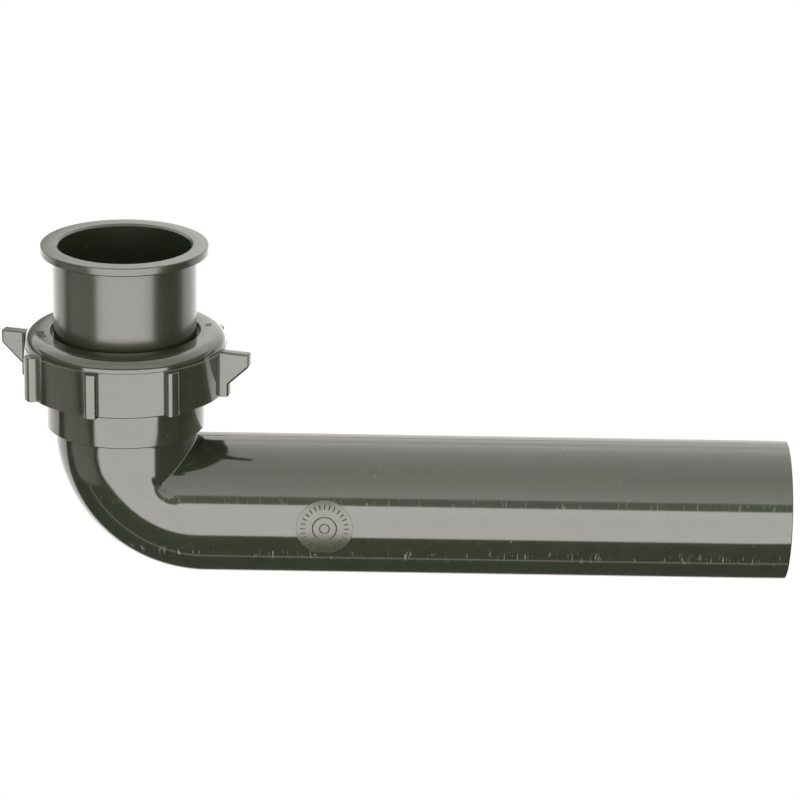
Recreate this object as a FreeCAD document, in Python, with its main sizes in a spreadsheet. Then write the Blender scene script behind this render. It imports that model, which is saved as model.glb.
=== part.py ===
import FreeCAD, Part
import math
import os
import Sketcher

# Slip-joint drain elbow in black ABS: a long outlet arm, a tight bend and a threaded hub,
# with a flanged tailpiece sealed in the hub by a tapered washer, a friction ring and a winged nut.
#
# Frame, in millimetres: +Z is up, along the inlet, and +X points out of the outlet, along the arm.
# The origin is the centre of the arm's open end, so the inlet's axis stands at x = -arm_reach.

SIZES = {
    "tube_radius": 19.05,
    "bore_radius": 17.6,
    "arm_reach": 179.0,
    "arm_end_chamfer": 0.5,
    "bend_radius": 22.0,
    "crease_start": 10.3,
    "sweep_power": 0.75,
    "hub_radius": 21.3,
    "hub_bottom": 21.0,
    "hub_foot_radius": 19.35,
    "hub_foot_rise": 1.6,
    "hub_foot_round": 0.4,
    "hub_neck": 31.6,
    "hub_top": 42.5,
    "socket_floor": 24.5,
    "socket_radius": 19.3,
    "seat_bottom": 38.0,
    "seat_radius": 21.8,
    "thread_pitch": 2.209,
    "thread_root": 22.6,
    "thread_crest": 23.8,
    "thread_play": 0.3,
    "thread_start": 34.2,
    "thread_length": 7.0,
    "ridge_foot": 1.3,
    "ridge_tip": 0.5,
    "ridge_sink": 0.3,
    "nut_bottom": 33.2,
    "nut_height": 15.7,
    "nut_radius": 27.1,
    "nut_roof": 2.5,
    "nut_hole": 20.0,
    "nut_round": 3.4,
    "nut_mouth_chamfer": 0.6,
    "nut_turn": -15.0,
    "nut_thread_start": 2.01,
    "rib_count": 8,
    "rib_radius": 29.2,
    "rib_width": 3.4,
    "rib_height": 12.3,
    "rib_round": 0.8,
    "wing_reach": 34.8,
    "wing_width": 3.0,
    "wing_top": 12.5,
    "wing_tip_foot": 8.8,
    "wing_root": 3.2,
    "wing_round": 0.7,
    "ring_inner": 19.4,
    "ring_outer": 22.6,
    "ring_height": 1.2,
    "stack_gap": 0.1,
    "washer_bore": 19.12,
    "washer_bottom": 38.6,
    "washer_lip": 1.5,
    "washer_radius": 22.2,
    "seat_gap": 0.15,
    "flange_top": 72.8,
    "flange_radius": 22.25,
    "flange_height": 2.3,
    "flange_round": 0.3,
    "flange_fillet": 0.6,
    "tailpiece_bore": 17.65,
    "tailpiece_length": 42.8,
    "mouth_bevel": 0.5,
}


def make_sheet(doc):
    """Put every driving size in its own named cell."""
    sheet = doc.addObject("Spreadsheet::Sheet", "sheet")
    for row, (alias, value) in enumerate(SIZES.items(), start=1):
        sheet.set(f"A{row}", alias)
        sheet.set(f"B{row}", str(value))
        sheet.setAlias(f"B{row}", alias)
    doc.recompute()
    return sheet


def origin_plane(body, role):
    """One of the body's own three base planes."""
    return next(item for item in body.Origin.OriginFeatures if item.Role == role)


def new_body(doc, label, height):
    """A body that stands on the inlet's axis, with its own origin at the given height."""
    body = doc.addObject("PartDesign::Body", label)
    body.Label = label
    body.setExpression("Placement.Base.x", "-sheet.arm_reach")
    body.setExpression("Placement.Base.z", height)
    return body


def new_sketch(body, name, role):
    """An empty sketch on one of the body's base planes."""
    sketch = body.newObject("Sketcher::SketchObject", name)
    sketch.AttachmentSupport = (origin_plane(body, role), [""])
    sketch.MapMode = "FlatFace"
    return sketch


def draw_outline(sketch, corners, arcs=None):
    """Draw a closed outline. Its corners are pairs of sheet expressions, in order.

    arcs maps a side's number to the expression of its radius; such a side bulges to the right
    of its own direction, and every other side is straight.
    """
    arcs = arcs or {}
    sheet = sketch.Document.sheet
    points = []
    for across, along in corners:
        points.append(FreeCAD.Vector(sheet.evalExpression(across), sheet.evalExpression(along), 0))
    count = len(points)
    for side in range(count):
        begin = points[side]
        end = points[(side + 1) % count]
        if side in arcs:
            sketch.addGeometry(arc_between(begin, end, sheet.evalExpression(arcs[side])))
        else:
            sketch.addGeometry(Part.LineSegment(begin, end))
    for side in range(count):
        following = (side + 1) % count
        sketch.addConstraint(Sketcher.Constraint("Coincident", side, 2, following, 1))
    for side, (across, along) in enumerate(corners):
        bind(sketch, "DistanceX", (side, 1), points[side].x, across)
        bind(sketch, "DistanceY", (side, 1), points[side].y, along)
    for side, radius in arcs.items():
        index = sketch.addConstraint(Sketcher.Constraint("Radius", side, sheet.evalExpression(radius)))
        sketch.setExpression(f"Constraints[{index}]", radius)


def bind(sketch, kind, point, value, expression):
    """Tie a point's distance from the sketch's origin to a sheet expression."""
    index = sketch.addConstraint(Sketcher.Constraint(kind, -1, 1, point[0], point[1], value))
    sketch.setExpression(f"Constraints[{index}]", expression)


def arc_between(begin, end, radius):
    """The short arc from begin to end that bulges to the right of that direction."""
    chord = end - begin
    half = chord.Length / 2
    towards_right = FreeCAD.Vector(chord.y, -chord.x, 0).normalize()
    depth = math.sqrt(radius * radius - half * half)
    crown = begin + chord / 2 + towards_right * (radius - depth)
    return Part.Arc(begin, crown, end)


def revolve(body, sketch):
    """Turn an outline once round the body's upright axis."""
    feature = body.newObject("PartDesign::Revolution", sketch.Name + "_turned")
    feature.Profile = sketch
    feature.ReferenceAxis = (sketch, ["V_Axis"])
    feature.Angle = 360
    sketch.Document.recompute()
    return feature


def round_edges(body, name, wanted, radius, kind="Fillet"):
    """Fillet or chamfer the edges of the body's last feature that the test picks."""
    base = body.Tip
    picked = []
    for number, edge in enumerate(base.Shape.Edges, start=1):
        if wanted(edge):
            picked.append(f"Edge{number}")
    feature = body.newObject("PartDesign::" + kind, name)
    feature.Base = (base, picked)
    feature.setExpression("Radius" if kind == "Fillet" else "Size", radius)
    body.Document.recompute()
    return feature


def ring_edge(radius, height):
    """A test for the circular edge of that radius at that height, in the body's own frame."""
    def wanted(edge):
        if not isinstance(edge.Curve, Part.Circle):
            return False
        return abs(edge.Curve.Radius - radius) < 0.01 and abs(edge.Curve.Center.z - height) < 0.01
    return wanted


def add_thread(body, name, foot_radius, tip_radius, start, length):
    """Wind one trapezoid ridge along a right-hand helix. Its sizes are sheet expressions."""
    sketch = new_sketch(body, name, "XZ_Plane")
    draw_outline(sketch, [
        (foot_radius, f"{start} - sheet.ridge_foot / 2"),
        (tip_radius, f"{start} - sheet.ridge_tip / 2"),
        (tip_radius, f"{start} + sheet.ridge_tip / 2"),
        (foot_radius, f"{start} + sheet.ridge_foot / 2"),
    ])
    body.Document.recompute()
    helix = body.newObject("PartDesign::AdditiveHelix", name + "_wound")
    helix.Profile = sketch
    helix.ReferenceAxis = (sketch, ["V_Axis"])
    helix.Mode = "pitch-height-angle"
    helix.setExpression("Pitch", "sheet.thread_pitch")
    helix.setExpression("Height", length)
    helix.LeftHanded = False
    body.Document.recompute()
    return helix


def make_tailpiece(doc):
    """The flanged inlet tube that slides and turns in the slip joint."""
    body = new_body(doc, "tailpiece", "sheet.flange_top - sheet.tailpiece_length")
    top = "sheet.tailpiece_length"
    sketch = new_sketch(body, "tailpiece_wall", "XZ_Plane")
    draw_outline(sketch, [
        ("sheet.tailpiece_bore", "0"),
        ("sheet.tube_radius", "0"),
        ("sheet.tube_radius", f"{top} - sheet.flange_height"),
        ("sheet.flange_radius", f"{top} - sheet.flange_height"),
        ("sheet.flange_radius", top),
        ("sheet.tailpiece_bore + sheet.mouth_bevel", top),
        ("sheet.tailpiece_bore", f"{top} - sheet.mouth_bevel"),
    ])
    revolve(body, sketch)
    flange_foot = SIZES["tailpiece_length"] - SIZES["flange_height"]
    under_flange = ring_edge(SIZES["tube_radius"], flange_foot)
    round_edges(body, "under_flange_fillet", under_flange, "sheet.flange_fillet")
    outer_rims = (
        ring_edge(SIZES["flange_radius"], flange_foot),
        ring_edge(SIZES["flange_radius"], SIZES["tailpiece_length"]),
    )
    round_edges(body, "flange_rounds", lambda edge: any(rim(edge) for rim in outer_rims),
                "sheet.flange_round")
    return body


def make_seal_washer(doc):
    """The tapered soft washer, squeezed between the hub's cone and the friction ring."""
    body = new_body(doc, "seal_washer", "sheet.washer_bottom")
    seat_slope = "(sheet.seat_radius - sheet.socket_radius) / (sheet.hub_top - sheet.seat_bottom)"
    foot = (f"sheet.socket_radius + (sheet.washer_bottom - sheet.seat_bottom) * {seat_slope}"
            " - sheet.seat_gap")
    taper = f"(sheet.washer_radius - ({foot})) / ({seat_slope})"
    sketch = new_sketch(body, "seal_washer_section", "XZ_Plane")
    draw_outline(sketch, [
        ("sheet.washer_bore", "0"),
        (foot, "0"),
        ("sheet.washer_radius", taper),
        ("sheet.washer_radius", f"{taper} + sheet.washer_lip"),
        ("sheet.washer_bore", f"{taper} + sheet.washer_lip"),
    ])
    revolve(body, sketch)
    return body


def make_friction_ring(doc):
    """The flat hard ring that lets the nut turn without dragging the soft washer round."""
    body = new_body(doc, "friction_ring",
                    "sheet.nut_bottom + sheet.nut_height - sheet.nut_roof"
                    " - sheet.stack_gap - sheet.ring_height")
    sketch = new_sketch(body, "friction_ring_section", "XZ_Plane")
    draw_outline(sketch, [
        ("sheet.ring_inner", "0"),
        ("sheet.ring_outer", "0"),
        ("sheet.ring_outer", "sheet.ring_height"),
        ("sheet.ring_inner", "sheet.ring_height"),
    ])
    revolve(body, sketch)
    return body


def make_slip_nut(doc):
    """The hand nut: a roofed ring with eight grip ribs, two of them drawn out into wings."""
    body = new_body(doc, "slip_nut", "sheet.nut_bottom")
    body.Placement.Rotation = FreeCAD.Rotation(FreeCAD.Vector(0, 0, 1), 0)
    body.setExpression("Placement.Rotation.Angle", "sheet.nut_turn")
    bore = "sheet.thread_crest + sheet.thread_play"
    top = "sheet.nut_height"
    roof = "sheet.nut_height - sheet.nut_roof"
    sketch = new_sketch(body, "nut_shell", "XZ_Plane")
    draw_outline(sketch, [
        (f"{bore} + sheet.nut_mouth_chamfer", "0"),
        ("sheet.nut_radius", "0"),
        ("sheet.nut_radius", top),
        ("sheet.nut_hole", top),
        ("sheet.nut_hole", roof),
        (bore, roof),
        (bore, "sheet.nut_mouth_chamfer"),
    ])
    revolve(body, sketch)
    shoulder = ring_edge(SIZES["nut_radius"], SIZES["nut_height"])
    round_edges(body, "nut_shoulder_round", shoulder, "sheet.nut_round")

    add_thread(body, "nut_thread", f"{bore} + sheet.ridge_sink",
               "sheet.thread_root + sheet.thread_play", "sheet.nut_thread_start",
               "sheet.thread_length")
    add_ribs(body)
    add_wings(body)
    return body


def add_ribs(body):
    """One upright rib with rounded corners, repeated round the nut."""
    half = "sheet.rib_width / 2"
    inner = "sheet.thread_crest + sheet.thread_play + sheet.ridge_sink * 2"
    sketch = new_sketch(body, "rib_plan", "XY_Plane")
    draw_outline(sketch, [
        (inner, f"-{half}"),
        ("sheet.rib_radius - sheet.rib_round", f"-{half}"),
        ("sheet.rib_radius", f"-{half} + sheet.rib_round"),
        ("sheet.rib_radius", f"{half} - sheet.rib_round"),
        ("sheet.rib_radius - sheet.rib_round", half),
        (inner, half),
    ], {1: "sheet.rib_round", 3: "sheet.rib_round"})
    rib = body.newObject("PartDesign::Pad", "rib")
    rib.Profile = sketch
    rib.setExpression("Length", "sheet.rib_height")
    body.Document.recompute()
    ribs = body.newObject("PartDesign::PolarPattern", "ribs")
    ribs.Originals = [rib]
    ribs.Axis = (sketch, ["N_Axis"])
    ribs.Angle = 360
    ribs.setExpression("Occurrences", "sheet.rib_count")
    body.Tip = ribs
    body.Document.recompute()


def add_wings(body):
    """Two finger wings on opposite ribs, each an upright plate with a slanted lower edge."""
    inner = "sheet.thread_crest + sheet.thread_play + sheet.ridge_sink * 2"
    sketch = new_sketch(body, "wing_side", "XZ_Plane")
    draw_outline(sketch, [
        (inner, "sheet.wing_root"),
        ("sheet.rib_radius", "sheet.wing_root"),
        ("sheet.wing_reach", "sheet.wing_tip_foot"),
        ("sheet.wing_reach", "sheet.wing_top"),
        (inner, "sheet.wing_top"),
    ])
    wing = body.newObject("PartDesign::Pad", "wing")
    wing.Profile = sketch
    wing.Midplane = True
    wing.setExpression("Length", "sheet.wing_width")
    body.Document.recompute()
    wings = body.newObject("PartDesign::PolarPattern", "wings")
    wings.Originals = [wing]
    wings.Axis = (sketch, ["V_Axis"])
    wings.Angle = 360
    wings.Occurrences = 2
    body.Tip = wings
    body.Document.recompute()

    reach = SIZES["wing_reach"]

    def at_tip(edge):
        ends = [vertex.Point for vertex in edge.Vertexes]
        return len(ends) == 2 and all(abs(abs(point.x) - reach) < 0.01 for point in ends)

    round_edges(body, "wing_tip_rounds", at_tip, "sheet.wing_round")


def make_hub(doc):
    """The socket on top of the bend: threaded outside, with a cone inside for the washer."""
    body = new_body(doc, "hub", "sheet.hub_bottom")
    foot_top = "sheet.hub_foot_rise"
    neck = "sheet.hub_neck - sheet.hub_bottom"
    root_foot = f"{neck} + sheet.thread_root - sheet.hub_radius"
    top = "sheet.hub_top - sheet.hub_bottom"
    lap = "sheet.bend_radius - sheet.hub_bottom"
    floor = "sheet.socket_floor - sheet.hub_bottom"
    sketch = new_sketch(body, "hub_wall", "XZ_Plane")
    draw_outline(sketch, [
        ("sheet.tube_radius", "0"),
        ("sheet.hub_foot_radius", "0"),
        ("sheet.hub_foot_radius", foot_top),
        ("sheet.hub_radius - sheet.hub_foot_round", foot_top),
        ("sheet.hub_radius", f"{foot_top} + sheet.hub_foot_round"),
        ("sheet.hub_radius", neck),
        ("sheet.thread_root", root_foot),
        ("sheet.thread_root", top),
        ("sheet.seat_radius", top),
        ("sheet.socket_radius", "sheet.seat_bottom - sheet.hub_bottom"),
        ("sheet.socket_radius", floor),
        ("sheet.bore_radius", floor),
        ("sheet.bore_radius", lap),
        ("sheet.tube_radius", lap),
    ], {3: "sheet.hub_foot_round"})
    revolve(body, sketch)
    add_thread(body, "hub_thread", "sheet.thread_root - sheet.ridge_sink", "sheet.thread_crest",
               "sheet.thread_start - sheet.hub_bottom", "sheet.thread_length")
    return body


def make_bend(doc, sheet):
    """The right-angle bend: a sharp mitred crease inside and a wide sweep outside."""
    outer = elbow_solid(sheet, sheet.tube_radius)
    waterway = elbow_solid(sheet, sheet.bore_radius)
    bend = doc.addObject("Part::Feature", "bend")
    bend.Label = "bend"
    bend.Shape = outer.cut(waterway)
    bend.Placement = FreeCAD.Placement(FreeCAD.Vector(-sheet.arm_reach, 0, 0), FreeCAD.Rotation())
    return bend


def elbow_solid(sheet, tube_radius):
    """A solid elbow of one tube radius, from two lofted halves that meet on the mitre plane."""
    steps = 10
    rings = []
    for step in range(steps + 1):
        rings.append(elbow_ring(sheet, tube_radius, step / steps))
    upright = Part.makeLoft(rings, True, False)
    level = upright.mirror(FreeCAD.Vector(0, 0, 0), FreeCAD.Vector(1, 0, -1))
    return upright.fuse(level)


def elbow_ring(sheet, tube_radius, share):
    """The closed curve that lies the given share of the way from the inlet to the mitre."""
    count = 48
    points = []
    for index in range(count):
        angle = 2 * math.pi * index / count
        across = tube_radius * math.cos(angle)
        aside = tube_radius * math.sin(angle)
        x, z = elbow_path(sheet, tube_radius, across, share)
        points.append(FreeCAD.Vector(x, aside, z))
    curve = Part.BSplineCurve()
    curve.interpolate(Points=points, PeriodicFlag=True)
    return Part.Wire([curve.toShape()])


def elbow_path(sheet, tube_radius, across, share):
    """Where the line at this offset from the tube's axis is, part of the way to the mitre.

    It runs straight down and then along an eighth of a circle. The circle is widest on the
    outside of the bend and shrinks to nothing where the crease starts.
    """
    crease = sheet.crease_start * tube_radius / sheet.tube_radius
    inside = max(0.0, (crease - across) / (crease + tube_radius))
    sweep = (sheet.bend_radius + tube_radius) * inside ** sheet.sweep_power
    straight = sheet.bend_radius - across - sweep
    travelled = share * (straight + sweep * math.pi / 4)
    if travelled <= straight:
        return across, sheet.bend_radius - travelled
    turned = (travelled - straight) / sweep
    return across + sweep * (1 - math.cos(turned)), across + sweep * (1 - math.sin(turned))


def make_arm(doc):
    """The long plain outlet tube, cut square, that plugs into the wall's slip joint."""
    body = doc.addObject("PartDesign::Body", "arm")
    body.Label = "arm"
    body.Placement.Rotation = FreeCAD.Rotation(FreeCAD.Vector(0, 1, 0), 90)
    body.setExpression("Placement.Base.x", "sheet.bend_radius - sheet.arm_reach")
    sketch = new_sketch(body, "arm_section", "XY_Plane")
    for radius in ("tube_radius", "bore_radius"):
        size = SIZES[radius]
        circle = sketch.addGeometry(Part.Circle(FreeCAD.Vector(), FreeCAD.Vector(0, 0, 1), size))
        sketch.addConstraint(Sketcher.Constraint("Coincident", circle, 3, -1, 1))
        index = sketch.addConstraint(Sketcher.Constraint("Radius", circle, size))
        sketch.setExpression(f"Constraints[{index}]", f"sheet.{radius}")
    tube = body.newObject("PartDesign::Pad", "arm_tube")
    tube.Profile = sketch
    tube.setExpression("Length", "sheet.arm_reach - sheet.bend_radius")
    doc.recompute()
    end_rim = ring_edge(SIZES["tube_radius"], SIZES["arm_reach"] - SIZES["bend_radius"])
    round_edges(body, "arm_end_rim", end_rim, "sheet.arm_end_chamfer", "Chamfer")
    return body


def check(doc, parts):
    """Stop unless every object worked out and every sub-part is one sound solid."""
    for item in doc.Objects:
        if "Invalid" in item.State or "Error" in item.State:
            raise RuntimeError(f"{item.Name} failed: {item.State}")
    for part in parts:
        shape = part.Shape
        if shape.isNull() or not shape.isValid() or len(shape.Solids) != 1:
            raise RuntimeError(f"{part.Label} is not one sound solid")


def report(parts):
    """Print each sub-part's volume and the heights it spans."""
    for part in parts:
        box = part.Shape.BoundBox
        print(f"{part.Label:14s} {part.Shape.Volume:10.1f} mm3  x {box.XMin:8.2f} {box.XMax:8.2f}"
              f"  z {box.ZMin:7.2f} {box.ZMax:7.2f}")


doc = FreeCAD.newDocument("drain_elbow")
sheet = make_sheet(doc)
parts = [
    make_arm(doc),
    make_bend(doc, sheet),
    make_hub(doc),
    make_slip_nut(doc),
    make_friction_ring(doc),
    make_seal_washer(doc),
    make_tailpiece(doc),
]
doc.recompute()
check(doc, parts)
report(parts)

os.makedirs("parts", exist_ok=True)
for part in parts:
    part.Shape.exportStep(f"parts/{part.Label}.step")
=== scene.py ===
import math

import bmesh
import bpy
from mathutils import Matrix, Vector


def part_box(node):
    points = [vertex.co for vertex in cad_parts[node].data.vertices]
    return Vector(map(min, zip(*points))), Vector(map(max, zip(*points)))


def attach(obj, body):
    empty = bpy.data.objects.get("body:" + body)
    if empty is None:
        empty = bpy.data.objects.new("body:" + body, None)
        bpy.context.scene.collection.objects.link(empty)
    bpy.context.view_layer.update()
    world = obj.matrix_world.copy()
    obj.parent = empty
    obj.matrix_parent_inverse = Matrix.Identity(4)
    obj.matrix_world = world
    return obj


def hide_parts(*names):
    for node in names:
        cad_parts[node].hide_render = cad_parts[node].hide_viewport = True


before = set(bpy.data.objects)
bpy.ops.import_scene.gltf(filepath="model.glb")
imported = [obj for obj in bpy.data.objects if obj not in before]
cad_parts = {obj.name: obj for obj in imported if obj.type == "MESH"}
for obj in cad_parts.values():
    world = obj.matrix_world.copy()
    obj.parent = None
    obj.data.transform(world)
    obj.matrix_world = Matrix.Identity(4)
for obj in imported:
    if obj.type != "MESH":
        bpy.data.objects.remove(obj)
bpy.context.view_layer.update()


# ---- The elbow: outlet arm, bend and threaded hub ------------------------------------------
# One injection-moulded piece of black ABS. Two straight cores meet on the mitre, which leaves
# the sharp crease inside the bend; the outside is swept wide. It plugs into the wall's joint.

MM = 0.001
arm_low, arm_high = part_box("arm")
bend_low, bend_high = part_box("bend")
hub_low, hub_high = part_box("hub")

tube_radius = (arm_high.z - arm_low.z) / 2
tube_columns = 336
wall = 1.45 * MM
inlet_x = bend_low.x + tube_radius
bend_reach = bend_high.z
bend_lap = 0.2 * MM
crease_start = 10.3 * MM
crease_fillet = 0.35 * MM
sweep_power = 0.75
hub_foot = hub_low.z
hub_foot_top = hub_foot + 1.6 * MM
collar_foot_proud = 0.02 * MM
collar_top_proud = 0.1 * MM
hub_neck_low = hub_foot + 10.6 * MM
hub_neck_high = hub_foot + 11.9 * MM
hub_top = hub_high.z
socket_radius = 19.3 * MM
socket_floor = hub_foot + 3.5 * MM
seat_bottom = hub_top - 4.5 * MM
seat_radius = 21.8 * MM
hub_radius = 21.3 * MM
thread_root = 22.6 * MM
thread_crest = 23.8 * MM
thread_pitch = 2.209 * MM
thread_length = 7.0 * MM
thread_play = 0.3 * MM
hub_thread_start = hub_foot + 13.2 * MM
flash_height = 0.07 * MM
flash_width = 0.3 * MM
end_round = 0.35 * MM
inner_end_round = 0.6 * end_round
weld = 0.001 * MM
sharp_edge = math.radians(38)


def round_corners(corners, steps=6):
    """An outline of (across, up, radius) corners, each rounded to its radius."""
    outline = []
    count = len(corners)
    for index, (across, up, radius) in enumerate(corners):
        corner = Vector((across, up))
        before = Vector(corners[index - 1][:2])
        after = Vector(corners[(index + 1) % count][:2])
        arriving = (corner - before).normalized()
        leaving = (after - corner).normalized()
        turn = arriving.angle_signed(leaving, 0)
        if radius == 0 or abs(turn) < 1e-4:
            outline.append(corner)
            continue
        cut = radius * math.tan(abs(turn) / 2)
        centre = corner - arriving * cut + side_of(arriving, turn) * radius
        start = corner - arriving * cut - centre
        for step in range(steps + 1):
            outline.append(centre + rotated(start, -turn * step / steps))
    return outline


def side_of(direction, turn):
    """The unit vector square to a direction, on the side that the outline turns towards."""
    if turn > 0:
        return Vector((direction.y, -direction.x))
    return Vector((-direction.y, direction.x))


def rotated(vector, angle):
    """A 2-D vector turned counter-clockwise."""
    cosine = math.cos(angle)
    sine = math.sin(angle)
    return Vector((vector.x * cosine - vector.y * sine, vector.x * sine + vector.y * cosine))


def skin(name, rings):
    """A closed shell through rings of points, each joined to the next and the last to the first."""
    count = len(rings[0])
    mesh = bpy.data.meshes.new(name)
    points = [point for ring in rings for point in ring]
    faces = []
    for row in range(len(rings)):
        following = (row + 1) % len(rings)
        for column in range(count):
            beside = (column + 1) % count
            faces.append((row * count + column, row * count + beside,
                          following * count + beside, following * count + column))
    mesh.from_pydata(points, [], faces)
    return finish_mesh(name, mesh)


def finish_mesh(name, mesh):
    """Merge doubles, face everything outwards, shade smooth with real edges kept, and link."""
    shell = bmesh.new()
    shell.from_mesh(mesh)
    bmesh.ops.remove_doubles(shell, verts=shell.verts, dist=weld)
    bmesh.ops.recalc_face_normals(shell, faces=shell.faces)
    shell.to_mesh(mesh)
    shell.free()
    mesh.shade_smooth()
    mesh.set_sharp_from_angle(angle=sharp_edge)
    piece = bpy.data.objects.new(name, mesh)
    bpy.context.scene.collection.objects.link(piece)
    return piece


def tube_angles():
    """Angles round the tube from its top line, closer together beside the two parting lines."""
    angles = [2 * math.pi * index / tube_columns for index in range(tube_columns)]
    for line in (0.0, math.pi):
        for aside in (-0.5, -0.25, 0.25, 0.5):
            angles.append((line + aside * flash_width / tube_radius) % (2 * math.pi))
    return sorted(angles)


def flash(angle):
    """How far the flash on the top parting line stands out; the lower line is trimmed flush."""
    from_line = min(angle, 2 * math.pi - angle) * tube_radius
    return flash_height * max(0.0, 1 - from_line / (flash_width / 2))


def bend_rings(radius, steps=30):
    """Rings from under the hub, round the bend, to the start of the arm, for one tube radius."""
    crease = crease_start * radius / tube_radius
    rings = []
    for step in range(steps + 1):
        ring = []
        for angle in angles:
            outward = radius + (flash(angle) if radius == tube_radius else 0)
            across = outward * math.cos(angle)
            aside = outward * math.sin(angle)
            inside = min(1.0, max(0.0, (crease - across) / (crease + radius)))
            sweep = max(crease_fillet, (bend_reach + radius) * inside ** sweep_power)
            arc_top = across + sweep
            first = min(arc_top, hub_foot - bend_lap)
            turned = math.asin((arc_top - first) / sweep)
            turned += (math.pi / 2 - turned) * step / steps
            ring.append((inlet_x + arc_top - sweep * math.cos(turned), aside,
                         arc_top - sweep * math.sin(turned)))
        rings.append(ring)
    return rings


def upright_ring(radius, height):
    """A level ring round the inlet's axis."""
    return [(inlet_x + radius * math.cos(angle), radius * math.sin(angle), height)
            for angle in angles]


def arm_ring(radius, along, flashed=False):
    """A ring round the arm's axis, a given distance from the origin."""
    ring = []
    for angle in angles:
        outward = radius + (flash(angle) if flashed else 0)
        ring.append((along, outward * math.sin(angle), outward * math.cos(angle)))
    return ring


angles = tube_angles()
hub_outside = round_corners([
    (thread_root, hub_top, 0.25 * MM),
    (thread_root, hub_neck_high, 0),
    (hub_radius, hub_neck_low, 0.4 * MM),
    (hub_radius, hub_foot_top, 0.3 * MM),
    (tube_radius + collar_top_proud, hub_foot_top, 0.3 * MM),
    (tube_radius + collar_foot_proud, hub_foot, 0),
    (tube_radius - wall, hub_foot, 0),
    (tube_radius - wall, socket_floor, 0.2 * MM),
    (socket_radius, socket_floor, 0.2 * MM),
    (socket_radius, seat_bottom, 0.4 * MM),
    (seat_radius, hub_top, 0.1 * MM),
])
hub_split = next(index for index, point in enumerate(hub_outside) if point.x < tube_radius - wall / 2)
hub_inside = hub_outside[hub_split:]
hub_outside = hub_outside[:hub_split]

arm_start = inlet_x + bend_reach + 3 * MM
arm_end = arm_high.x
arm_rings = 12
rings = [upright_ring(point.x, point.y) for point in hub_outside]
rings += bend_rings(tube_radius)
for index in range(arm_rings):
    along = arm_start + (arm_end - end_round - arm_start) * index / (arm_rings - 1)
    rings.append(arm_ring(tube_radius, along, flashed=True))
rounding_steps = 4
for step in range(1, rounding_steps + 1):
    turned = math.pi / 2 * step / rounding_steps
    rings.append(arm_ring(tube_radius - end_round * (1 - math.cos(turned)),
                          arm_end - end_round * (1 - math.sin(turned))))
for step in range(rounding_steps + 1):
    turned = math.pi / 2 * step / rounding_steps
    rings.append(arm_ring(tube_radius - wall + inner_end_round * (1 - math.sin(turned)),
                          arm_end - inner_end_round * (1 - math.cos(turned))))
rings.append(arm_ring(tube_radius - wall, arm_start))
rings += list(reversed(bend_rings(tube_radius - wall)))
rings += [upright_ring(point.x, point.y) for point in hub_inside]
elbow = skin("elbow_moulding", rings)


def linear(colour):
    """An sRGB hex colour as linear RGBA."""
    channels = [int(colour[index:index + 2], 16) / 255 for index in (1, 3, 5)]
    return [value / 12.92 if value <= 0.04045 else ((value + 0.055) / 1.055) ** 2.4
            for value in channels] + [1.0]


def add(tree, kind, settings=None, links=None):
    """Add one node, with its properties and inputs set and its links made."""
    node = tree.nodes.new(kind)
    for name, value in (settings or {}).items():
        if name in node.inputs:
            node.inputs[name].default_value = value
        else:
            setattr(node, name, value)
    for name, source in (links or {}).items():
        tree.links.new(source, node.inputs[name])
    return node


def new_material(name):
    """A material with an empty node tree."""
    material = bpy.data.materials.new(name)
    material.use_nodes = True
    material.node_tree.nodes.clear()
    return material


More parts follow.
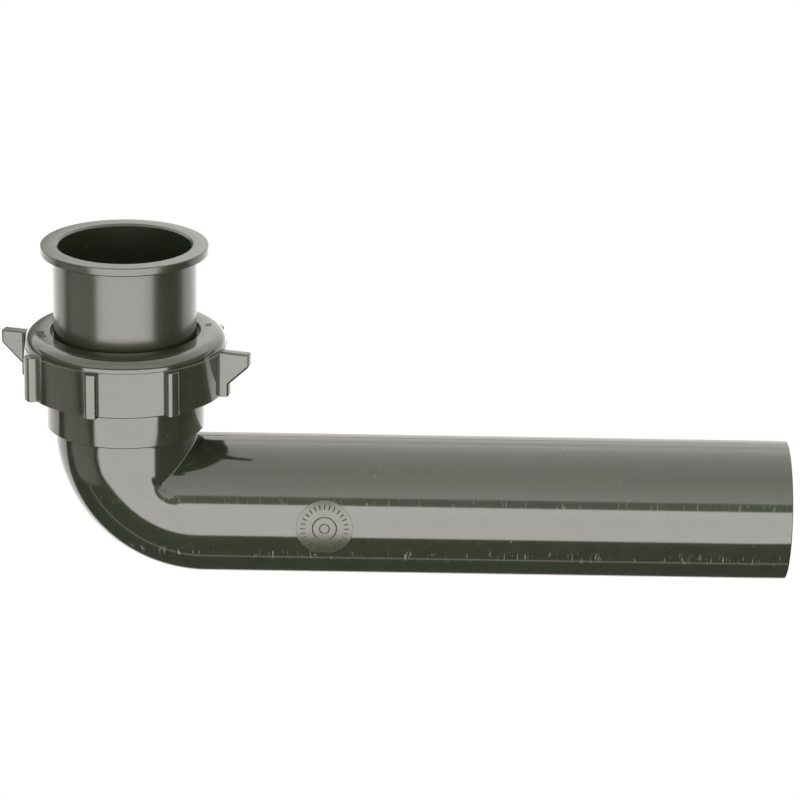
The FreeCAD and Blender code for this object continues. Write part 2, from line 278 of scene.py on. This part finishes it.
def moulded_abs(name, colour, bloom, roughness, scuffs, painted_highlight_lines=()):
    """Glossy black ABS from a polished steel mould.

    The eye gets sharp reflections, a faint swell where the wall shrank on cooling, hair scuffs
    from handling, and a thin dusty bloom that lifts the black towards olive. Each painted
    highlight line is a (height, reach, strength): short pale spots painted into the colour along
    that height, a painted highlight where the tube's reflections break.
    """
    swell_size = 14 * MM
    swell_depth = 0.12 * MM
    dust_size = 5 * MM
    scuff_size = 1.1 * MM
    scuff_depth = 0.02 * MM
    scuff_dulling = 0.3
    scuff_and_glint_colour = "#6f7368"
    glint_width = 0.7 * MM
    glint_length = 5 * MM

    material = new_material(name)
    tree = material.node_tree
    position = add(tree, "ShaderNodeTexCoord").outputs["Object"]
    swell = add(tree, "ShaderNodeTexNoise", {"Scale": 1 / swell_size, "Detail": 1.0},
                {"Vector": position})
    dust = add(tree, "ShaderNodeTexNoise", {"Scale": 1 / dust_size, "Detail": 4.0},
               {"Vector": position})
    scratches = add(tree, "ShaderNodeTexNoise",
                    {"Scale": 1 / scuff_size, "Detail": 3.0, "Distortion": 0.6},
                    {"Vector": position})
    scuffs_and_painted_glints = add(tree, "ShaderNodeMapRange", {"From Min": 0.68, "From Max": 0.8, "To Max": scuffs},
                {"Value": scratches.outputs["Fac"]}).outputs["Result"]

    upright = add(tree, "ShaderNodeMapping",
                  {"Scale": (1 / glint_width, 1 / glint_length, 1 / glint_length)},
                  {"Vector": position})
    glint_noise = add(tree, "ShaderNodeTexNoise", {"Scale": 1.0, "Detail": 2.0, "Distortion": 0.8},
                {"Vector": upright.outputs["Vector"]})
    glint_spots = add(tree, "ShaderNodeMapRange", {"From Min": 0.61, "From Max": 0.7},
                 {"Value": glint_noise.outputs["Fac"]})
    height = add(tree, "ShaderNodeSeparateXYZ", links={"Vector": position}).outputs["Z"]
    # Each line adds pale spots to the colour along its height: a painted highlight where the tube's
    # reflections break.
    for line_height, reach, strength in painted_highlight_lines:
        away = add(tree, "ShaderNodeMath", {"operation": "SUBTRACT"}, {0: height})
        away.inputs[1].default_value = line_height
        apart = add(tree, "ShaderNodeMath", {"operation": "ABSOLUTE"}, {0: away.outputs[0]})
        near = add(tree, "ShaderNodeMapRange",
                   {"From Min": 0.0, "From Max": reach, "To Min": strength, "To Max": 0.0},
                   {"Value": apart.outputs[0]})
        painted_glints = add(tree, "ShaderNodeMath", {"operation": "MULTIPLY"},
                     {0: near.outputs["Result"], 1: glint_spots.outputs["Result"]})
        scuffs_and_painted_glints = add(tree, "ShaderNodeMath", {"operation": "ADD"},
                    {0: scuffs_and_painted_glints, 1: painted_glints.outputs[0]}).outputs[0]

    tint = add(tree, "ShaderNodeMix", {"data_type": "RGBA"}, {0: dust.outputs["Fac"]})
    tint.inputs[6].default_value = linear(colour)
    tint.inputs[7].default_value = linear(bloom)
    # One pale colour serves both the real scuffs and the painted highlight spots.
    scuffed_and_glinting = add(tree, "ShaderNodeMix", {"data_type": "RGBA"}, {0: scuffs_and_painted_glints, 6: tint.outputs[2]})
    scuffed_and_glinting.inputs[7].default_value = linear(scuff_and_glint_colour)

    gloss = add(tree, "ShaderNodeMapRange", {"To Min": roughness * 0.92, "To Max": roughness * 1.1},
                {"Value": dust.outputs["Fac"]})
    dulled = add(tree, "ShaderNodeMath", {"operation": "MULTIPLY_ADD"},
                 {0: scuffs_and_painted_glints, 2: gloss.outputs["Result"]})
    dulled.inputs[1].default_value = scuff_dulling

    soft_bump = add(tree, "ShaderNodeBump", {"Strength": 0.12, "Distance": swell_depth},
                    {"Height": swell.outputs["Fac"]})
    bump = add(tree, "ShaderNodeBump", {"Strength": 0.2, "Distance": scuff_depth},
               {"Height": scuffs_and_painted_glints, "Normal": soft_bump.outputs["Normal"]})
    shader = add(tree, "ShaderNodeBsdfPrincipled", {"IOR": 1.53},
                 {"Base Color": scuffed_and_glinting.outputs[2], "Roughness": dulled.outputs[0],
                  "Normal": bump.outputs["Normal"]})
    add(tree, "ShaderNodeOutputMaterial", links={"Surface": shader.outputs["BSDF"]})
    return material


# The heights of the two painted highlight lines on the elbow, where its reflections break.
upper_highlight_line = (7.0 * MM, 1.3 * MM, 0.22)
lower_highlight_line = (-8.2 * MM, 2.2 * MM, 0.5)
elbow_abs = moulded_abs("moulded_abs_elbow", "#171a12", "#1f2319", 0.1, 0.2, (upper_highlight_line, lower_highlight_line))
elbow.data.materials.append(elbow_abs)
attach(elbow, "elbow")
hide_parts("arm", "bend", "hub")


# ---- The mould insert's disc ---------------------------------------------------------------
# A round pin in the mould leaves a disc on the front of the arm, 15 mm across and a hair proud.
# Its spark-eroded end is satin beside the polished tube. A plain dial stands in for its lettering.

disc_from_inlet = 54.0 * MM
disc_radius = 7.6 * MM
disc_proud = 0.10 * MM
disc_sink = 0.4 * MM
disc_bevel = 0.06 * MM
disc_bevel_foot = 0.02 * MM
disc_rows = 10
mark_proud = 0.3 * MM
mark_width = 0.5 * MM
tick_count = 28
tick_start = 5.2 * MM
tick_length = 1.4 * MM
inner_ring_radius = 1.3 * MM
outer_ring_radius = 3.2 * MM


def lathe(name, outline, columns=192, centre_x=inlet_x):
    """A closed ring with this (radius, height) outline round an upright axis."""
    rings = []
    for point in outline:
        ring = []
        for column in range(columns):
            angle = 2 * math.pi * column / columns
            ring.append((centre_x + point.x * math.cos(angle), point.x * math.sin(angle), point.y))
        rings.append(ring)
    return skin(name, rings)


def prism(name, outline, low, high):
    """A plan outline drawn up from one height to another, about the origin's axis."""
    count = len(outline)
    mesh = bpy.data.meshes.new(name)
    points = [(point.x, point.y, low) for point in outline]
    points += [(point.x, point.y, high) for point in outline]
    faces = [tuple(range(count)), tuple(range(2 * count - 1, count - 1, -1))]
    for index in range(count):
        beside = (index + 1) % count
        faces.append((index, beside, count + beside, count + index))
    mesh.from_pydata(points, [], faces)
    return finish_mesh(name, mesh)


def ridge_bar(name, start, long, wide, low, high):
    """A small raised mark along X: a bar with sloping sides that meet on a ridge."""
    half = wide / 2
    end = start + long
    points = [(start, -half, low), (end, -half, low), (end, half, low), (start, half, low),
              (start + half, 0, high), (end - half, 0, high)]
    faces = [(3, 2, 1, 0), (0, 1, 5, 4), (1, 2, 5), (2, 3, 4, 5), (3, 0, 4)]
    mesh = bpy.data.meshes.new(name)
    mesh.from_pydata(points, [], faces)
    return finish_mesh(name, mesh)


def ridge_ring(name, radius, wide, low, high, columns=48):
    """A small raised ring with sloping sides, round the origin's upright axis."""
    section = [Vector((radius - wide / 2, low)), Vector((radius + wide / 2, low)),
               Vector((radius, high))]
    return lathe(name, section, columns, centre_x=0)


def growing_tree(name, size_names):
    """A geometry tree with geometry in and out and a named number for each size, and its inputs."""
    tree = bpy.data.node_groups.new(name, "GeometryNodeTree")
    tree.interface.new_socket("Geometry", in_out="INPUT", socket_type="NodeSocketGeometry")
    for size_name in size_names:
        tree.interface.new_socket(size_name, in_out="INPUT", socket_type="NodeSocketFloat")
    tree.interface.new_socket("Geometry", in_out="OUTPUT", socket_type="NodeSocketGeometry")
    return tree, add(tree, "NodeGroupInput").outputs


def end_tree(tree, geometry, material):
    """Make a tree's result real, coat it with one material and hand it out."""
    whole = add(tree, "GeometryNodeRealizeInstances", links={"Geometry": geometry})
    coated = add(tree, "GeometryNodeSetMaterial", {"Material": material},
                 {"Geometry": whole.outputs["Geometry"]})
    add(tree, "NodeGroupOutput", links={"Geometry": coated.outputs["Geometry"]})


def run_tree(piece, tree, values):
    """Grow the piece's mesh with a geometry tree, keep the plain result, and drop the modifier."""
    modifier = piece.modifiers.new("grow", "NODES")
    modifier.node_group = tree
    for item in tree.interface.items_tree:
        if item.in_out == "INPUT" and item.name in values:
            modifier[item.identifier] = values[item.name]
    return apply_modifiers(piece)


def apply_modifiers(piece):
    """Swap a piece's mesh for the result of its modifiers, and drop them."""
    result = piece.evaluated_get(bpy.context.evaluated_depsgraph_get())
    piece.data = bpy.data.meshes.new_from_object(result)
    piece.modifiers.clear()
    return piece


def repeat_tree(name, material):
    """A tree that sets copies of a mesh evenly round the upright axis."""
    tree, given = growing_tree(name, ["Count", "Step"])
    points = add(tree, "GeometryNodePoints", links={"Count": given["Count"]})
    number = add(tree, "GeometryNodeInputIndex")
    angle = add(tree, "ShaderNodeMath", {"operation": "MULTIPLY"},
                {0: number.outputs["Index"], 1: given["Step"]})
    facing = add(tree, "ShaderNodeCombineXYZ", links={"Z": angle.outputs[0]})
    copies = add(tree, "GeometryNodeInstanceOnPoints", links={
        "Points": points.outputs["Points"], "Instance": given["Geometry"],
        "Rotation": facing.outputs["Vector"]})
    end_tree(tree, copies.outputs["Instances"], material)
    return tree


def wrap_on_arm(piece):
    """Lay a flat mesh, seen face on, over the front of the tube at the insert's place."""
    for vertex in piece.data.vertices:
        along, up, proud = vertex.co
        lean = math.asin(up / tube_radius)
        outward = tube_radius + proud
        vertex.co = (inlet_x + disc_from_inlet + along, -outward * math.cos(lean),
                     outward * math.sin(lean))
    return piece


disc_outline = [
    Vector((0, -disc_sink)),
    Vector((disc_radius, -disc_sink)),
    Vector((disc_radius, disc_bevel_foot)),
    Vector((disc_radius - disc_bevel, disc_proud)),
]
for row in range(disc_rows):
    disc_outline.append(Vector(((disc_radius - 2 * disc_bevel) * (1 - row / disc_rows), disc_proud)))
disc_outline.append(Vector((0, disc_proud)))
disc = wrap_on_arm(lathe("insert_disc", disc_outline, columns=72, centre_x=0))
disc_abs = moulded_abs("eroded_abs_disc", "#1d2017", "#282c21", 0.29, 0.1)
disc.data.materials.append(disc_abs)

repeat = repeat_tree("round_the_dial", disc_abs)
ticks = ridge_bar("insert_ticks", tick_start, tick_length, mark_width, 0.0, mark_proud)
run_tree(ticks, repeat, {"Count": tick_count, "Step": 2 * math.pi / tick_count})
inner_ring = ridge_ring("insert_inner_ring", inner_ring_radius, mark_width, 0.0, mark_proud)
inner_ring.data.materials.append(disc_abs)
outer_ring = ridge_ring("insert_outer_ring", outer_ring_radius, mark_width, 0.0, mark_proud, columns=64)
outer_ring.data.materials.append(disc_abs)
for piece in (ticks, inner_ring, outer_ring):
    wrap_on_arm(piece)
for piece in (disc, ticks, inner_ring, outer_ring):
    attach(piece, "elbow")


# ---- The threads ---------------------------------------------------------------------------
# Coarse right-hand drainage thread, 11.5 turns to the inch, moulded in the same black ABS.
# Each is one trapezoid ridge wound along a helix: on the hub's outside, and in the nut's bore.

ridge_foot = 1.3 * MM
ridge_tip = 0.5 * MM
ridge_sink = 0.1 * MM


def thread_tree(name, material):
    """A tree that sweeps the piece's own outline along an upright helix."""
    tree, given = growing_tree(name, ["Radius", "Pitch", "Turns"])
    rise = add(tree, "ShaderNodeMath", {"operation": "MULTIPLY"},
               {0: given["Pitch"], 1: given["Turns"]})
    helix = add(tree, "GeometryNodeCurveSpiral", {"Resolution": 96, "Reverse": True},
                {"Rotations": given["Turns"], "Start Radius": given["Radius"],
                 "End Radius": given["Radius"], "Height": rise.outputs[0]})
    upright = add(tree, "GeometryNodeSetCurveNormal", {"mode": "Z_UP"},
                  {"Curve": helix.outputs["Curve"]})
    outline = add(tree, "GeometryNodeMeshToCurve", links={"Mesh": given["Geometry"]})
    ridge = add(tree, "GeometryNodeCurveToMesh", {"Fill Caps": True},
                {"Curve": upright.outputs["Curve"], "Profile Curve": outline.outputs["Curve"]})
    end_tree(tree, ridge.outputs["Mesh"], material)
    return tree


def wound_ridge(name, foot_radius, tip_radius, material):
    """Turns of one trapezoid ridge. Its outline's first axis points away from the helix's axis."""
    depth = tip_radius - foot_radius
    outline = [(0, -ridge_foot / 2, 0), (depth, -ridge_tip / 2, 0), (depth, ridge_tip / 2, 0),
               (0, ridge_foot / 2, 0)]
    mesh = bpy.data.meshes.new(name)
    mesh.from_pydata(outline, [(0, 1), (1, 2), (2, 3), (3, 0)], [])
    piece = bpy.data.objects.new(name, mesh)
    bpy.context.scene.collection.objects.link(piece)
    turns = thread_length / thread_pitch
    return run_tree(piece, thread_tree(name + "_tree", material),
                    {"Radius": foot_radius, "Pitch": thread_pitch, "Turns": turns})


def place(piece, move, turn=0.0):
    """Turn the mesh about Z and move it, and leave the object at the origin."""
    piece.data.transform(Matrix.Translation(move) @ Matrix.Rotation(turn, 4, "Z"))


hub_thread = wound_ridge("hub_thread", thread_root - ridge_sink, thread_crest, elbow_abs)
place(hub_thread, (inlet_x, 0, hub_thread_start))
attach(hub_thread, "elbow")


# ---- The slip nut --------------------------------------------------------------------------
# A roofed ring of black ABS with eight grip ribs round it, two of them drawn out into finger
# wings. It screws onto the hub by hand and squeezes the washer round the tailpiece.

nut_low, nut_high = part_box("slip_nut")
nut_bottom = nut_low.z
nut_top = nut_high.z
nut_radius = 27.1 * MM
nut_bore = thread_crest + thread_play
nut_hole = 20.0 * MM
nut_roof = 2.5 * MM
nut_mouth = 0.5 * MM
nut_turn = math.radians(-15)
nut_thread_start = nut_bottom + 2.01 * MM
rib_count = 8
rib_radius = 29.18 * MM
rib_foot_half = 1.95 * MM
rib_tip_half = 1.6 * MM
rib_round = 1.1 * MM
rib_bevel = 0.2 * MM
rib_bottom = nut_bottom + 0.1 * MM
rib_top = nut_bottom + 12.3 * MM
rib_inner = nut_bore + 1.2 * MM
wing_reach = 34.78 * MM
wing_half = 1.5 * MM
wing_bevel = 0.65 * MM
wing_root = nut_bottom + 3.2 * MM
wing_root_reach = rib_radius - 0.3 * MM
wing_tip_foot = nut_bottom + 8.8 * MM
wing_top = nut_bottom + 12.5 * MM
lip = 0.14 * MM

nut_shell = lathe("nut_shell", round_corners([
    (nut_bore, nut_bottom + nut_mouth, 0.1 * MM),
    (nut_bore + nut_mouth, nut_bottom, 0.1 * MM),
    (nut_radius, nut_bottom, 0.35 * MM),
    (nut_radius, rib_top, 0.05 * MM),
    (nut_radius - lip, rib_top + lip, 0.05 * MM),
    (nut_radius - lip, nut_top, 3.3 * MM),
    (nut_hole, nut_top, 0.25 * MM),
    (nut_hole, nut_top - nut_roof, 0.15 * MM),
    (nut_bore, nut_top - nut_roof, 0.3 * MM),
], steps=10))
nut_abs = moulded_abs("moulded_abs_nut", "#171a12", "#20241a", 0.11, 0.2)
nut_shell.data.materials.append(nut_abs)


def soften_edges(piece, width, steps=3):
    """Round every sharp edge of a small solid and keep its flat faces flat to the light."""
    piece.data.shade_smooth()
    bevel = piece.modifiers.new("round", "BEVEL")
    bevel.width = width
    bevel.segments = steps
    bevel.limit_method = "ANGLE"
    bevel.angle_limit = math.radians(30)
    piece.modifiers.new("flat_faces", "WEIGHTED_NORMAL")
    return apply_modifiers(piece)


rib_plan = round_corners([
    (rib_inner, -rib_foot_half, 0),
    (nut_radius, -rib_foot_half, 0),
    (rib_radius, -rib_tip_half, rib_round),
    (rib_radius, rib_tip_half, rib_round),
    (nut_radius, rib_foot_half, 0),
    (rib_inner, rib_foot_half, 0),
])
ribs = soften_edges(prism("nut_ribs", rib_plan, rib_bottom, rib_top), rib_bevel)
repeat = repeat_tree("round_the_nut", nut_abs)
run_tree(ribs, repeat, {"Count": rib_count, "Step": 2 * math.pi / rib_count})
place(ribs, (inlet_x, 0, 0), nut_turn)

wing_side = [
    Vector((rib_inner, wing_root)),
    Vector((wing_root_reach, wing_root)),
    Vector((wing_reach, wing_tip_foot)),
    Vector((wing_reach, wing_top)),
    Vector((rib_inner, wing_top)),
]
wings = prism("nut_wings", wing_side, -wing_half, wing_half)
wings.data.transform(Matrix.Rotation(math.pi / 2, 4, "X"))
soften_edges(wings, wing_bevel, 4)
run_tree(wings, repeat, {"Count": 2, "Step": math.pi})
place(wings, (inlet_x, 0, 0), nut_turn)

# Four plain ridges and one small ring stand where the roof would carry its size.
roof_mark_foot = nut_top - 0.1 * MM
roof_mark_ridge = nut_top + 0.16 * MM
roof_mark_start = 21.4 * MM
roof_mark_length = 2.6 * MM
roof_mark_width = 0.7 * MM
roof_mark_count = 4
roof_mark_turn = math.radians(-171)
roof_mark_step = math.radians(3.6)
size_mark_radius = 0.8 * MM
size_mark_width = 0.6 * MM
size_mark_out = 22.0 * MM
size_mark_aside = 4.5 * MM

roof_marks = ridge_bar("nut_marks", roof_mark_start, roof_mark_length, roof_mark_width,
                       roof_mark_foot, roof_mark_ridge)
run_tree(roof_marks, repeat, {"Count": roof_mark_count, "Step": roof_mark_step})
place(roof_marks, (inlet_x, 0, 0), roof_mark_turn)
size_mark = ridge_ring("nut_size_mark", size_mark_radius, size_mark_width,
                       roof_mark_foot, roof_mark_ridge, columns=32)
size_mark.data.materials.append(nut_abs)
place(size_mark, (inlet_x + size_mark_out, size_mark_aside, 0))

nut_thread = wound_ridge("nut_thread", nut_bore + ridge_sink, thread_root + thread_play, nut_abs)
place(nut_thread, (inlet_x, 0, nut_thread_start), nut_turn)

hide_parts("slip_nut")
for piece in (nut_shell, ribs, wings, roof_marks, size_mark, nut_thread):
    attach(piece, "nut")


# ---- The tailpiece -------------------------------------------------------------------------
# A short tube of black ABS with a flat flange and a bevelled mouth, all straight from the mould,
# with a duller skin than the elbow. It slides and turns in the joint until the nut is tightened.

tail_low, tail_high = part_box("tailpiece")
tail_bore = 17.65 * MM
mouth_bevel = 0.55 * MM
flange_radius = (tail_high.x - tail_low.x) / 2
flange_foot = tail_high.z - 2.3 * MM
tailpiece = lathe("tailpiece_tube", round_corners([
    (tail_bore, tail_low.z, 0.2 * MM),
    (tube_radius, tail_low.z, 0.4 * MM),
    (tube_radius, flange_foot, 0.7 * MM),
    (flange_radius, flange_foot, 0.35 * MM),
    (flange_radius, tail_high.z, 0.35 * MM),
    (tail_bore + mouth_bevel, tail_high.z, 0.15 * MM),
    (tail_bore, tail_high.z - mouth_bevel, 0.15 * MM),
]))
tail_abs = moulded_abs("moulded_abs_tailpiece", "#171a12", "#1f2319", 0.24, 0.12)
tailpiece.data.materials.append(tail_abs)
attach(tailpiece, "tailpiece")
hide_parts("tailpiece")


# ---- The seal: tapered washer and friction ring --------------------------------------------
# A soft milky polyethylene washer fills the hub's cone; a hard nylon ring lies between it and
# the nut's roof. Both drop in loose and are held by the nut.


def satin_polymer(name, colour, deep, roughness):
    """A pale moulded polymer, unfilled: a waxy satin look, with soft clouds of colour and sheen."""
    cloud_size = 3 * MM
    cloud_depth = 0.05 * MM
    material = new_material(name)
    tree = material.node_tree
    position = add(tree, "ShaderNodeTexCoord").outputs["Object"]
    clouds = add(tree, "ShaderNodeTexNoise", {"Scale": 1 / cloud_size, "Detail": 3.0},
                 {"Vector": position})
    tint = add(tree, "ShaderNodeMix", {"data_type": "RGBA"}, {0: clouds.outputs["Fac"]})
    tint.inputs[6].default_value = linear(deep)
    tint.inputs[7].default_value = linear(colour)
    sheen = add(tree, "ShaderNodeMapRange", {"To Min": roughness * 0.85, "To Max": roughness * 1.15},
                {"Value": clouds.outputs["Fac"]})
    bump = add(tree, "ShaderNodeBump", {"Strength": 0.2, "Distance": cloud_depth},
               {"Height": clouds.outputs["Fac"]})
    shader = add(tree, "ShaderNodeBsdfPrincipled", {"IOR": 1.51},
                 {"Base Color": tint.outputs[2], "Roughness": sheen.outputs["Result"],
                  "Normal": bump.outputs["Normal"]})
    add(tree, "ShaderNodeOutputMaterial", links={"Surface": shader.outputs["BSDF"]})
    return material


loose_rings = {
    "seal_washer": satin_polymer("milky_polyethylene", "#c3c6c4", "#b0b4b1", 0.45),
    "friction_ring": satin_polymer("natural_nylon", "#d2cdbf", "#c2bca9", 0.4),
}
for node, material in loose_rings.items():
    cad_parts[node].data.materials.clear()
    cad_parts[node].data.materials.append(material)


# ---- Studio --------------------------------------------------------------------------------
# A white floor, one broad panel low in front and a dimmer one overhead. Behind stand a lit sweep
# and wall, with a gap between them that darkens to the left and keeps flat tops below the rims.

half_floor = 6.0
floor_height = arm_low.z - 0.05 * MM
floor_corners = [(-half_floor, -half_floor, floor_height), (half_floor, -half_floor, floor_height),
                 (half_floor, half_floor, floor_height), (-half_floor, half_floor, floor_height)]
floor_mesh = bpy.data.meshes.new("floor")
floor_mesh.from_pydata(floor_corners, [], [(0, 1, 2, 3)])
floor = bpy.data.objects.new("floor", floor_mesh)
bpy.context.scene.collection.objects.link(floor)
floor_white = new_material("floor_white")
glow = add(floor_white.node_tree, "ShaderNodeEmission", {"Color": (1, 1, 1, 1), "Strength": 1.0})
add(floor_white.node_tree, "ShaderNodeOutputMaterial", links={"Surface": glow.outputs[0]})
floor_mesh.materials.append(floor_white)
floor.visible_glossy = False
floor.visible_shadow = False
floor.visible_diffuse = False


def soft_box(name, centre, target, width, height, colour, middle, edge, edge_width, along=0):
    """A diffusing panel that faces a target, with its own radiance in the middle and at two edges.

    Each graded edge takes up the share edge_width of the panel, and the two edges are its sides
    where along is 0, or its top and bottom where it is 1.
    """
    light = bpy.data.lights.new(name, "AREA")
    light.shape = "RECTANGLE"
    light.size = width
    light.size_y = height
    light.energy = math.pi * width * height
    light.use_nodes = True
    tree = light.node_tree
    tree.nodes.clear()
    across = add(tree, "ShaderNodeNewGeometry").outputs["Parametric"]
    parts = add(tree, "ShaderNodeSeparateXYZ", links={"Vector": across})
    from_edge = add(tree, "ShaderNodeMath", {"operation": "PINGPONG"}, {0: parts.outputs[along]})
    from_edge.inputs[1].default_value = 0.5
    radiance = add(tree, "ShaderNodeMapRange",
                   {"From Min": 0.0, "From Max": edge_width, "To Min": edge, "To Max": middle},
                   {"Value": from_edge.outputs[0]})
    glow = add(tree, "ShaderNodeEmission", {"Color": colour},
               {"Strength": radiance.outputs["Result"]})
    add(tree, "ShaderNodeOutputLight", links={"Surface": glow.outputs[0]})
    lamp = bpy.data.objects.new(name, light)
    lamp.location = centre
    lamp.rotation_mode = "QUATERNION"
    lamp.rotation_quaternion = (Vector(target) - Vector(centre)).to_track_quat("-Z", "Y")
    lamp.visible_camera = False
    bpy.context.scene.collection.objects.link(lamp)


warm = (1.0, 0.957, 0.934, 1)
neutral = (1.0, 0.985, 0.965, 1)
soft_box("front_low", (-0.03, -1.0, -0.22), (-0.03, 0, -0.22), width=2.28, height=1.04,
         colour=warm, middle=7.5, edge=0.0, edge_width=0.05)
soft_box("overhead", (-0.09, -0.4, 1.2), (-0.09, -0.4, 0), width=4.0, height=3.4,
         colour=neutral, middle=1.45, edge=2.5, edge_width=0.5, along=1)
soft_box("back_sweep", (-0.09, 1.3, -0.7), (-0.09, 0, -0.7), width=11.0, height=1.6,
         colour=warm, middle=1.9, edge=1.9, edge_width=0.5)
soft_box("back_wall", (-0.09, 1.3, 0.88), (-0.09, 0, 0.88), width=11.0, height=0.64,
         colour=warm, middle=1.6, edge=1.6, edge_width=0.5)
soft_box("back_door", (0.75, 1.3, 0.33), (0.75, 0, 0.33), width=2.2, height=0.44,
         colour=warm, middle=1.5, edge=0.5, edge_width=0.07)
soft_box("left_card", (-1.3, -0.3, -0.45), (-0.18, 0, -0.1), width=1.0, height=0.7,
         colour=neutral, middle=0.95, edge=0.5, edge_width=0.2)
soft_box("table_edge", (-0.09, -0.1, -0.5), (-0.09, 0, 0), width=1.5, height=0.02,
         colour=neutral, middle=2.0, edge=2.0, edge_width=0.5)

world = bpy.data.worlds.new("studio")
world.use_nodes = True
room = world.node_tree
room.nodes.clear()
direction = add(room, "ShaderNodeTexCoord").outputs["Generated"]
height = add(room, "ShaderNodeSeparateXYZ", links={"Vector": direction}).outputs["Z"]
above = add(room, "ShaderNodeMapRange",
            {"From Min": 0.0, "From Max": 0.5, "To Min": 0.1, "To Max": 0.9}, {"Value": height})
seen_white = add(room, "ShaderNodeBackground", {"Color": (1, 1, 1, 1), "Strength": 1.0})
lit_dim = add(room, "ShaderNodeBackground", {"Color": (1, 1, 0.95, 1)},
              {"Strength": above.outputs["Result"]})
ray = add(room, "ShaderNodeLightPath")
either = add(room, "ShaderNodeMixShader", links={
    0: ray.outputs["Is Camera Ray"], 1: lit_dim.outputs[0], 2: seen_white.outputs[0]})
add(room, "ShaderNodeOutputWorld", links={"Surface": either.outputs[0]})
bpy.context.scene.world = world
bpy.context.scene.view_settings.view_transform = "Standard"

camera_data = bpy.data.cameras.new("camera")
camera_data.lens = 152.83
camera_data.sensor_width = 36
camera_data.clip_start = 0.05
camera = bpy.data.objects.new("camera", camera_data)
azimuth = math.radians(-0.658)
elevation = math.radians(19.802)
roll = math.radians(1.141)
distance = 913.56 * MM
aim = Vector((inlet_x + 73.69 * MM, 0, 30.0 * MM))
back = Vector((math.sin(azimuth) * math.cos(elevation), -math.cos(azimuth) * math.cos(elevation),
               math.sin(elevation)))
right = Vector((math.cos(azimuth), math.sin(azimuth), 0))
up = back.cross(right)
tilted_right = right * math.cos(roll) + up * math.sin(roll)
tilted_up = up * math.cos(roll) - right * math.sin(roll)
turn = Matrix((tilted_right, tilted_up, back)).transposed().to_4x4()
camera.matrix_world = Matrix.Translation(aim + back * distance) @ turn
bpy.context.scene.collection.objects.link(camera)
bpy.context.scene.camera = camera
